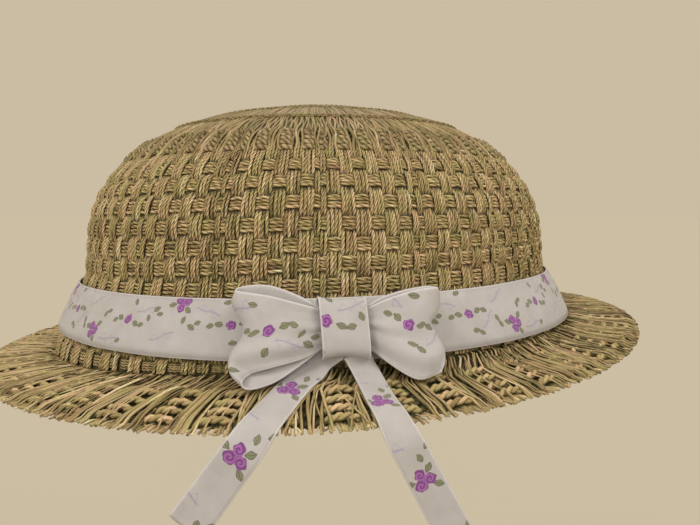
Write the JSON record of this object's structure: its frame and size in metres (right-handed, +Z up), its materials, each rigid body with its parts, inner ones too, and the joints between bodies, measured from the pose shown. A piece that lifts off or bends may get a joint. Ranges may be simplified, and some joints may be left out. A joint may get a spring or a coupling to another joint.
{
  "type": "sun hat",
  "caption": "Round woven straw hat with a domed crown, a short drooping brim, a printed ribbon band and a flat bow with two hanging tails.",
  "frame": {"origin": "middle of the head opening, on the crown's axis, level with the ribbon band's lower edge", "axes": "+Z up along the crown's axis, -Y towards the front of the hat where the bow is, +X towards the right of the front view"},
  "size_m": [0.2439, 0.2482, 0.1197],
  "materials": {
    "crown_straw": "woven from fine twisted seagrass cord, matt",
    "brim_straw": "woven from coarse twisted seagrass rope and straight grass strands, matt",
    "ribbon": "thin printed cotton with small rose sprigs, soft"
  },
  "bodies": {
    "root": {"crown": "crown_straw", "brim": "brim_straw", "hat_band": "ribbon", "bow_loop_left": "ribbon", "bow_loop_right": "ribbon", "bow_knot": "ribbon", "bow_tail_left": "ribbon", "bow_tail_right": "ribbon"}
  },
  "joints": []
}
